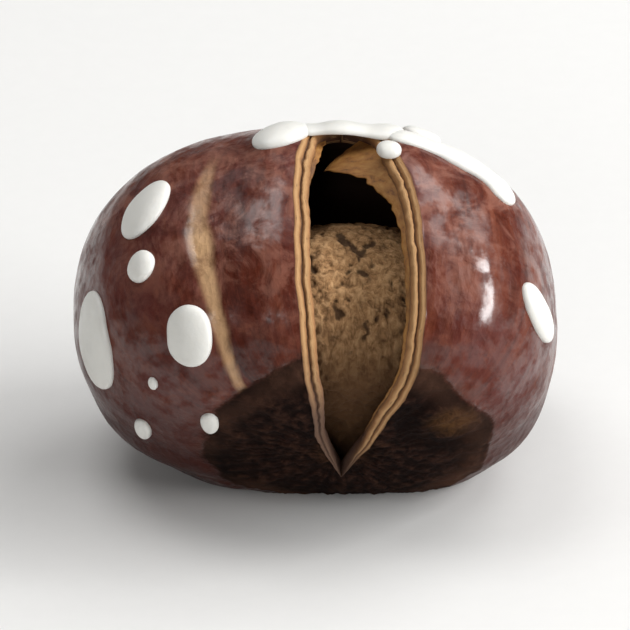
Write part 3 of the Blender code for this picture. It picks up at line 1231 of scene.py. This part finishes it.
    def inside_row(
        self, mesh: MeshBuilder, polar: float, right: float, left: float, bevel: float
    ) -> list[int]:
        """Adds one row of the inside, from the right lip round the back to the left one.

        Args:
            mesh: The wall's mesh.
            polar: The row's polar angle.
            right: The right lip's place.
            left: The left lip's place.
            bevel: The width of the broken edge, or 0 where the shell is whole.

        Returns:
            The numbers of the row's points.
        """
        start, end = 0.0, 2 * math.pi
        if bevel > 0:
            start = self.split.turn_to(right - self.inside_start * bevel, polar)
            end += self.split.turn_to(left + self.inside_start * bevel, polar)
        ends = [self.inside(self.split.way(polar, turn)) for turn in (start, end)]
        row = []
        for column in range(self.inside_columns + 1):
            place = self.inside(self.split.way(polar, start + (end - start) * column / self.inside_columns))
            away = min((place - corner).length for corner in ends) if bevel > 0 else 1.0
            row.append(mesh.point(place, near=bell(away, self.tan_reach)))
        return row

    def build(self) -> bpy.types.Object:
        """Builds the wall and dresses it.

        Returns:
            The wall's object.
        """
        mesh = MeshBuilder("shell_wall")
        previous: tuple[list[int], list[int], list[int], list[int]] | None = None
        was_open = False
        for polar, share in self.rows():
            right, left, bevel = self.split.lips(share)
            is_open = share is not None and bevel > 0
            outside = self.outside_row(mesh, polar, right, left)
            edges = []
            for lip, corner in ((Lip.RIGHT, outside[0]), (Lip.LEFT, outside[-1])):
                edges.append([corner] + (self.edge_row(mesh, lip, polar, share) if is_open else []))
            inside = self.inside_row(mesh, polar, right, left, bevel)
            for row, last in ((edges[0], inside[0]), (edges[1], inside[-1])):
                if is_open:
                    row[-1] = last
                else:
                    row += [row[0]] * (self.edge_columns - 2) + [last]
            current = (outside, edges[0], edges[1], inside)
            if previous is not None:
                mesh.strip(previous[0], outside, 0)
                mesh.strip(inside, previous[3], 2)
                if is_open or was_open:
                    mesh.strip(edges[0], previous[1], 1)
                    mesh.strip(previous[2], edges[1], 1)
            previous, was_open = current, is_open
        finishes = [RoastedSkin().material(), TornEdge().material(), InnerWall().material()]
        return mesh.make(self.form.centre, finishes)


@dataclass
class LipLining:
    """The papery lining under a lip, which stands out past the break with a ragged edge."""

    split: Split
    lip: Lip
    # How far it stands out past the break, at shares of the way down, in mm
    right_reach: Places = (
        (0, 2.8), (0.07, 3.9), (0.105, 3.5), (0.13, 2.5), (0.16, 1.5), (0.2, 0.9), (0.25, 0.6),
        (0.33, 0.45), (0.5, 0.36), (0.75, 0.22), (1, 0.05)
    )
    left_reach: Places = ((0, 0.3), (0.08, 0.55), (0.13, 0.4), (0.25, 0.1), (0.5, 0.07), (1, 0.05))
    start: float = 0.025
    end: float = 0.9
    rows: int = 230
    ring: int = 16
    hidden: float = 0.6
    thickness: float = 0.13
    depth: float = 0.66
    curl: float = 0.34
    # The room that it leaves beside the other lip, and its least reach, in mm
    room: float = 1.1
    least: float = 0.03

    def row(self, share: float) -> list[Vector]:
        """Works out one section of the lining.

        Args:
            share: How far down the split it lies.

        Returns:
            The section's points, all round the thin sheet.
        """
        split, form = self.split, self.split.form
        right, left, bevel = split.lips(share)
        lip_edge = right if self.lip is Lip.RIGHT else left
        open_share = bevel / split.bevel
        polar = split.cap + split.arc * share
        along = share * split.length / MM
        ragged = 1 + 0.3 * noise.noise(Vector((along * 0.9, 5.5, self.lip.value)))
        ragged += 0.14 * noise.noise(Vector((along * 3.1, 1.5, self.lip.value * 3)))
        ends = smooth_step(self.start, self.start + 0.02, share)
        ends *= 1 - smooth_step(self.end - 0.1, self.end, share)
        reach = through(self.right_reach if self.lip is Lip.RIGHT else self.left_reach, share)
        reach = max(self.least, min((right - left) / MM - self.room, reach * ragged * ends))
        points = []
        for i in range(self.ring):
            turn = 2 * math.pi * i / self.ring
            spread = 0.5 - 0.5 * math.cos(turn)
            out = -self.hidden + (reach + self.hidden) * spread
            wave = 0.07 * noise.noise(Vector((along * 1.3, out * 2, 9.0)))
            depth = self.depth + self.curl * max(0, out) + wave + self.thickness / 2 * math.sin(turn)
            offset = (0.74 * split.bevel / MM + out) * open_share * MM
            way = split.way(polar, split.turn_to(lip_edge - self.lip.value * offset, polar))
            radius = form.shell_radius(way)
            points.append(form.leaned(way * (radius + split.lip_lift(way, radius) - depth * MM)))
        return points

    def build(self) -> bpy.types.Object:
        """Builds the lining, with its ends closed, and dresses it.

        Returns:
            The lining's object.
        """
        mesh = MeshBuilder(f"lining_{self.lip.name.lower()}")
        previous: list[int] | None = None
        for step in range(self.rows + 1):
            share = self.start + (self.end - self.start) * step / self.rows
            along = share * self.split.length / MM
            points = self.row(share)
            if step in (0, self.rows):
                points = [sum(points, Vector()) / len(points)] * len(points)
            row = []
            for i, place in enumerate(points + points[:1]):
                spread = 0.5 - 0.5 * math.cos(2 * math.pi * i / self.ring)
                row.append(mesh.point(place, Vector((along * 2.2, spread * 5, 0))))
            if previous is not None:
                mesh.strip(previous, row)
            previous = row
        return mesh.make(self.split.form.centre, [PaperyLining().material()])


@dataclass
class Kernel:
    """The kernel: shrunken, sunk towards the scar and matted with fibres."""

    form: NutForm
    room: float = 1.65 * MM
    half: tuple[float, float, float] = (11.4 * MM, 9.6 * MM, 7.6 * MM)
    across: float = -0.5 * MM
    sunk: float = 3.4 * MM
    blend: float = 1.0 * MM
    segments: int = 300
    rings: int = 190
    crowding: float = 0.6
    relief: float = 0.32 * MM
    lumps: float = 0.45 * MM
    fibre_angles: tuple[float, ...] = (12, 48, -35)
    crease_width: float = 0.17
    # The ends of each crease, which is carved in and painted dark as shade, across and up in the front view,
    # in mm
    creases: tuple[tuple[float, float, float, float], ...] = (
        (1.2, 4.2, 1.6, 3.85), (1.85, 3.5, 2.4, 3.3), (2.4, 3.3, 3.0, 3.8), (2.25, 2.3, 2.65, 2.0),
        (-0.6, 2.9, -0.3, 2.2), (0.9, 0.4, 1.3, -0.3), (2.6, -0.6, 2.7, -1.3),
    )

    def radius(self, way: Vector) -> float:
        """Measures the kernel's smooth outside, which keeps clear of the shell.

        Args:
            way: A direction of length 1.

        Returns:
            The distance from the nut's centre.
        """
        form = self.form
        floor = form.foot_depth / -way.z if way.z < -0.3 else 1.0
        room = min(form.body_radius(way), floor) - self.room
        across, broad, down = self.half
        ray = Vector((way.dot(SIDE) / across, way.dot(form.broad) / broad, way.dot(form.scar) / down))
        start = Vector((0, -self.across / broad, -self.sunk / down))
        half = ray.dot(start)
        reach = (-half + math.sqrt(half * half - ray.dot(ray) * (start.dot(start) - 1))) / ray.dot(ray)
        return smooth_min(room, reach, self.blend)

    def off_crease(self, spot: Vector, crease: tuple[float, float, float, float]) -> float:
        """Measures how far a place is from a crease.

        Args:
            spot: The place in the front view, in mm.
            crease: The crease's two ends, in mm.

        Returns:
            The distance in mm.
        """
        start, end = Vector(crease[:2]), Vector(crease[2:])
        run = end - start
        share = clamp((spot - start).dot(run) / run.length_squared)
        return (spot - start - run * share).length

    def matted(self, point: Vector) -> float:
        """Works out the fibrous relief.

        Args:
            point: The point of the kernel's outside.

        Returns:
            The relief, from 0 in a pit to 1 on a fibre.
        """
        place = point / MM
        across, up, out = place.x, place.dot(self.form.view_up), place.dot(self.form.view)
        fibres = 0.0
        for number, angle in enumerate(self.fibre_angles):
            turn = math.radians(angle) + 0.5 * noise.noise(place * 0.3 + Vector((number * 9, 0, 0)))
            along = across * math.sin(turn) + up * math.cos(turn)
            aside = across * math.cos(turn) - up * math.sin(turn)
            fibre = 1 - 2.4 * abs(noise.noise(Vector((aside * 2.3, along * 0.6, out * 0.8 + number * 5))))
            fibres = max(fibres, fibre)
        mat = noise.turbulence(place * 2.0 + Vector((3, 1, 7)), 4, False)
        near = noise.voronoi(Vector((across * 0.7, up * 1.1, out * 0.8)))[0][0]
        patchy = smooth_step(-0.1, 0.35, noise.noise(place * 0.45 + Vector((0, 0, 4))))
        pits = 0.35 * (1 - smooth_step(0.04, 0.26, near)) * patchy
        if out > 0:
            spot = Vector((across, up)) + Vector((noise.noise(place * 1.7), noise.noise(place * 1.9))) * 0.25
            away = min(self.off_crease(spot, crease) for crease in self.creases)
            pits = max(pits, bell(away, self.crease_width))
        return clamp(0.16 + 0.55 * fibres + 0.4 * mat - 0.8 * pits)

    def build(self) -> bpy.types.Object:
        """Builds the kernel as a ball whose poles face the sides, and dresses it.

        Returns:
            The kernel's object.
        """
        mesh = MeshBuilder("kernel_seed")
        previous: list[int] | None = None
        for ring in range(self.rings + 1):
            polar = math.pi * ring / self.rings
            row = []
            for segment in range(self.segments + 1):
                turn = 2 * math.pi * (segment % self.segments) / self.segments
                turn -= self.crowding * math.sin(turn)
                level = self.form.view * math.cos(turn) + self.form.view_up * math.sin(turn)
                way = SIDE * math.cos(polar) + level * math.sin(polar)
                point = self.form.leaned(way * self.radius(way))
                relief = self.matted(point)
                lump = 0.5 + 0.5 * noise.noise(point / MM * 0.33)
                place = point - way * (self.relief * (1 - relief) + self.lumps * lump)
                row.append(mesh.point(place, relief=relief))
            if previous is not None:
                mesh.strip(previous, row)
            previous = row
        return mesh.make(self.form.centre, [FibrousSkin().material()])


@dataclass
class GlazeMark:
    """One drop or smear of dried glaze, which hugs the shell."""

    name: str
    form: GlazeForm
    path: list[Vector]
    width: float
    height: float = 0.48 * MM
    root: float = 0.22 * MM
    ring: int = 28
    # How many points to each side are counted in to even out the surface's direction
    even: int = 6

    def half_width(self, share: float) -> float:
        """Works out half the mark's width.

        Args:
            share: How far along the mark.

        Returns:
            The half width there.
        """
        across = -math.cos(math.pi * share)
        if self.form is GlazeForm.DROP:
            return self.width / 2 * max(0, 1 - abs(across) ** 2.2) ** 0.5
        ends = max(0, 1 - abs(across) ** 8) ** 0.5
        knots = 0.2 * noise.noise(Vector((share * 5 + len(self.name), 0.7, self.width * 900)))
        return self.width / 2 * ends * (0.85 + knots)

    def build(self, split: Split, finish: bpy.types.Material) -> bpy.types.Object:
        """Builds the mark as a low closed dome along its path.

        Args:
            split: The torn shell, whose outside the mark lies on.
            finish: The glaze's material.

        Returns:
            The mark's object.
        """
        mesh = MeshBuilder(self.name)
        count = len(self.path) - 1
        seed = Vector((self.width * 5000, len(self.name), self.path[0].x * 900))
        facing = [split.outward(point) for point in self.path]
        previous: list[int] | None = None
        for step in range(count + 1):
            point = self.path[step]
            ahead = self.path[min(step + 1, count)] - self.path[max(step - 1, 0)]
            out = sum(facing[max(step - self.even, 0) : step + self.even + 1], Vector()).normalized()
            side = ahead.cross(out).normalized()
            half = self.half_width(step / count)
            row = []
            for i in range(self.ring + 1):
                turn = 2 * math.pi * (i % self.ring) / self.ring
                across, rise = math.cos(turn), math.sin(turn)
                wobble = 1 + 0.14 * noise.noise((point + side * across * half) * 600 + seed)
                foot = split.pressed(point + side * (across * half * wobble))
                full = half / (self.width / 2)
                height = self.height * max(0, rise) ** 0.75 * min(1.0, full) ** 0.7
                if rise < 0:
                    height = self.root * rise * min(1.0, full)
                row.append(mesh.point(foot + out * height))
            if previous is not None:
                mesh.strip(previous, row)
            previous = row
        return mesh.make(split.form.centre, [finish])


@dataclass
class Glaze:
    """All the glaze that dripped on the nut."""

    split: Split
    steps: int = 30
    smear_steps: int = 90
    # A drop's height as a share of its width, and the most that it may be, in mm
    steepness: float = 0.36
    front_height: float = 0.5
    back_height: float = 0.48
    back_width: float = 0.85
    smear_height: float = 0.42 * MM
    # The ends of each front drop, across and up in the front view, and its width, in mm
    drops: tuple[tuple[float, float, float, float, float], ...] = (
        (-10.2, 3.9, -8.15, 6.9, 2.3),
        (-9.5, 1.5, -9.15, 3.2, 1.6),
        (-11.7, -3.95, -12.1, 1.0, 3.3),
        (-6.7, -2.9, -6.85, 0.35, 2.6),
        (-8.7, -4.1, -8.7, -3.5, 0.6),
        (-9.3, -6.7, -9.3, -5.8, 1.0),
        (-5.7, -6.4, -5.7, -5.4, 1.0),
        (-3.4, 8.8, -0.5, 9.65, 2.4),
        (3.1, 8.4, 4.4, 8.25, 1.25),
        (10.95, 1.45, 12.45, -1.4, 1.9),
    )
    # Places that each smear runs through in the front view, and its width, in mm
    smears: tuple[tuple[Places, float], ...] = (
        (((-0.9, 9.5), (1.8, 9.62), (4.6, 9.25)), 2.1),
        (((3.7, 9.05), (6.4, 8.55), (8.2, 7.75), (9.55, 6.75), (10.35, 5.65)), 2.1),
    )
    # Bearing and elevation in degrees, and size in mm, of the drops behind
    back_drops: tuple[tuple[float, float, float], ...] = (
        (150, 40, 3.4), (118, 62, 2.2), (205, 28, 2.8), (232, 8, 3.6), (128, 8, 1.6), (188, -12, 2.0)
    )

    def straight(self, middle: Vector, along: Vector, length: float) -> list[Vector]:
        """Works out the path of a drop on the shell's outside.

        Args:
            middle: The drop's middle.
            along: Which way it is long.
            length: How long it is.

        Returns:
            The path's points.
        """
        out = self.split.outward(middle)
        along = (along - out * along.dot(out)).normalized()
        ends = [-math.cos(math.pi * i / self.steps) * length / 2 for i in range(self.steps + 1)]
        return [self.split.pressed(middle + along * end) for end in ends]

    def winding(self, places: Places) -> list[Vector]:
        """Works out a smear's path.

        Args:
            places: What it runs through, across and up in the front view, in mm.

        Returns:
            The points of a smooth path on the shell's outside.
        """
        spots = [self.split.surface_at(across * MM, up * MM) for across, up in places]
        columns = [tuple(enumerate(spot[axis] for spot in spots)) for axis in range(3)]
        path = []
        for step in range(self.smear_steps + 1):
            place = (0.5 - 0.5 * math.cos(math.pi * step / self.smear_steps)) * (len(spots) - 1)
            path.append(self.split.pressed(Vector([through(column, place) for column in columns])))
        return path

    def marks(self) -> list[GlazeMark]:
        """Lists every drop, in front and behind, and every smear.

        Returns:
            The marks.
        """
        found = []
        for *ends, width in self.drops:
            start, end = Vector(ends[:2]), Vector(ends[2:])
            shares = [0.5 - 0.5 * math.cos(math.pi * step / self.steps) for step in range(self.steps + 1)]
            path = [self.split.surface_at(*(start.lerp(end, share) * MM)) for share in shares]
            height = min(self.front_height, self.steepness * width) * MM
            name = f"glaze_drop_{len(found) + 1}"
            found.append(GlazeMark(name, GlazeForm.DROP, path, width * MM, height))
        for bearing, elevation, size in self.back_drops:
            turn, rise = math.radians(bearing), math.radians(elevation)
            way = Vector((math.sin(turn) * math.cos(rise), -math.cos(turn) * math.cos(rise), math.sin(rise)))
            path = self.straight(self.split.surface(way), SIDE + self.split.form.view_up, size * MM)
            height = min(self.back_height, self.steepness * size) * MM
            name = f"glaze_drop_{len(found) + 1}"
            found.append(GlazeMark(name, GlazeForm.DROP, path, size * self.back_width * MM, height))
        for number, (places, width) in enumerate(self.smears, 1):
            name, path = f"glaze_smear_{number}", self.winding(places)
            found.append(GlazeMark(name, GlazeForm.SMEAR, path, width * MM, self.smear_height))
        return found

    def build(self) -> list[bpy.types.Object]:
        """Builds all the marks in one finish."""
        finish = DriedGlaze().material()
        return [mark.build(self.split, finish) for mark in self.marks()]


@dataclass
class Studio:
    """The pale floor, the soft light and the camera."""

    floor_size: float = 1.6
    lens: float = 450.0
    sensor: float = 36.0
    frame_width: float = 34.0 * MM
    elevation: float = 30.0
    sky: Colour = (1.0, 0.99, 0.975)
    sky_strength: float = 0.13
    aim: Vector = field(default_factory=lambda: Vector((0.0, -0.5, 9.6)) * MM)
    # Each light: the middles of its two ends, its width, and its power in watts
    lights: tuple[tuple[str, tuple[float, float, float], tuple[float, float, float], float, float], ...] = (
        ("ceiling", (0.03, -0.06, 0.43), (0.03, 0.3, 0.36), 0.6, 0.45),
        ("key", (-0.115, -0.09, 0.44), (-0.115, 0.1, 0.44), 0.2, 0.45),
        ("shoulder", (0.15, 0.25, 0.38), (0.31, 0.08, 0.33), 0.22, 0.5),
        ("streak", (0.345, 0.065, 0.31), (0.382, -0.249, 0.09), 0.06, 2.0),
        ("front", (-0.22, -0.4, 0.22), (-0.02, -0.44, 0.22), 0.12, 0.3),
    )

    def floor(self) -> bpy.types.Object:
        """Returns:
            The floor's object.
        """
        bpy.ops.mesh.primitive_plane_add(size=self.floor_size)
        floor = bpy.context.object
        floor.name = "floor"
        floor.data.materials.append(PalePaper().material())
        return floor

    def lamps(self) -> None:
        """Hangs the soft lights and sets the pale surroundings."""
        for name, start, end, width, power in self.lights:
            run = Vector(end) - Vector(start)
            data = bpy.data.lights.new(name, "AREA")
            data.shape = "RECTANGLE"
            data.size, data.size_y = width, run.length
            data.energy = power
            lamp = bpy.data.objects.new(name, data)
            lamp.location = (Vector(start) + Vector(end)) / 2
            back = (lamp.location - self.aim).normalized()
            along = (run - back * run.dot(back)).normalized()
            lamp.rotation_euler = Matrix((along.cross(back), along, back)).transposed().to_euler()
            bpy.context.scene.collection.objects.link(lamp)
        world = bpy.data.worlds.new("pale_room")
        world.use_nodes = True
        backdrop = world.node_tree.nodes["Background"]
        backdrop.inputs["Color"].default_value = (*self.sky, 1)
        backdrop.inputs["Strength"].default_value = self.sky_strength
        bpy.context.scene.world = world

    def camera(self) -> None:
        """Sets the camera at the picture's viewing angle, with a long lens."""
        data = bpy.data.cameras.new("camera")
        data.lens, data.sensor_width = self.lens, self.sensor
        data.clip_start = 0.01
        away = self.frame_width * self.lens / self.sensor
        camera = bpy.data.objects.new("camera", data)
        camera.location = self.aim + meridian(self.elevation) * away
        camera.rotation_euler = (self.aim - camera.location).to_track_quat("-Z", "Y").to_euler()
        bpy.context.scene.collection.objects.link(camera)
        bpy.context.scene.camera = camera

    def build(self) -> None:
        """Sets up the whole studio."""
        self.floor()
        self.lamps()
        self.camera()
        bpy.context.scene.view_settings.view_transform = "Standard"


def main() -> None:
    """Builds the nut's pieces in order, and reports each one."""
    logging.basicConfig(level=logging.INFO, format="%(name)s: %(message)s", stream=sys.stdout)
    form = NutForm()
    split = Split(form)
    Studio().build()
    settle(ShellWall(form, split).build(), "shell", "shell")
    for lip in Lip:
        settle(LipLining(split, lip).build(), "lip", "shell")
    settle(Kernel(form).build(), "kernel", "kernel")
    for mark in Glaze(split).build():
        settle(mark, "glaze", "shell")
    bpy.context.view_layer.update()


if __name__ == "__main__":
    main()
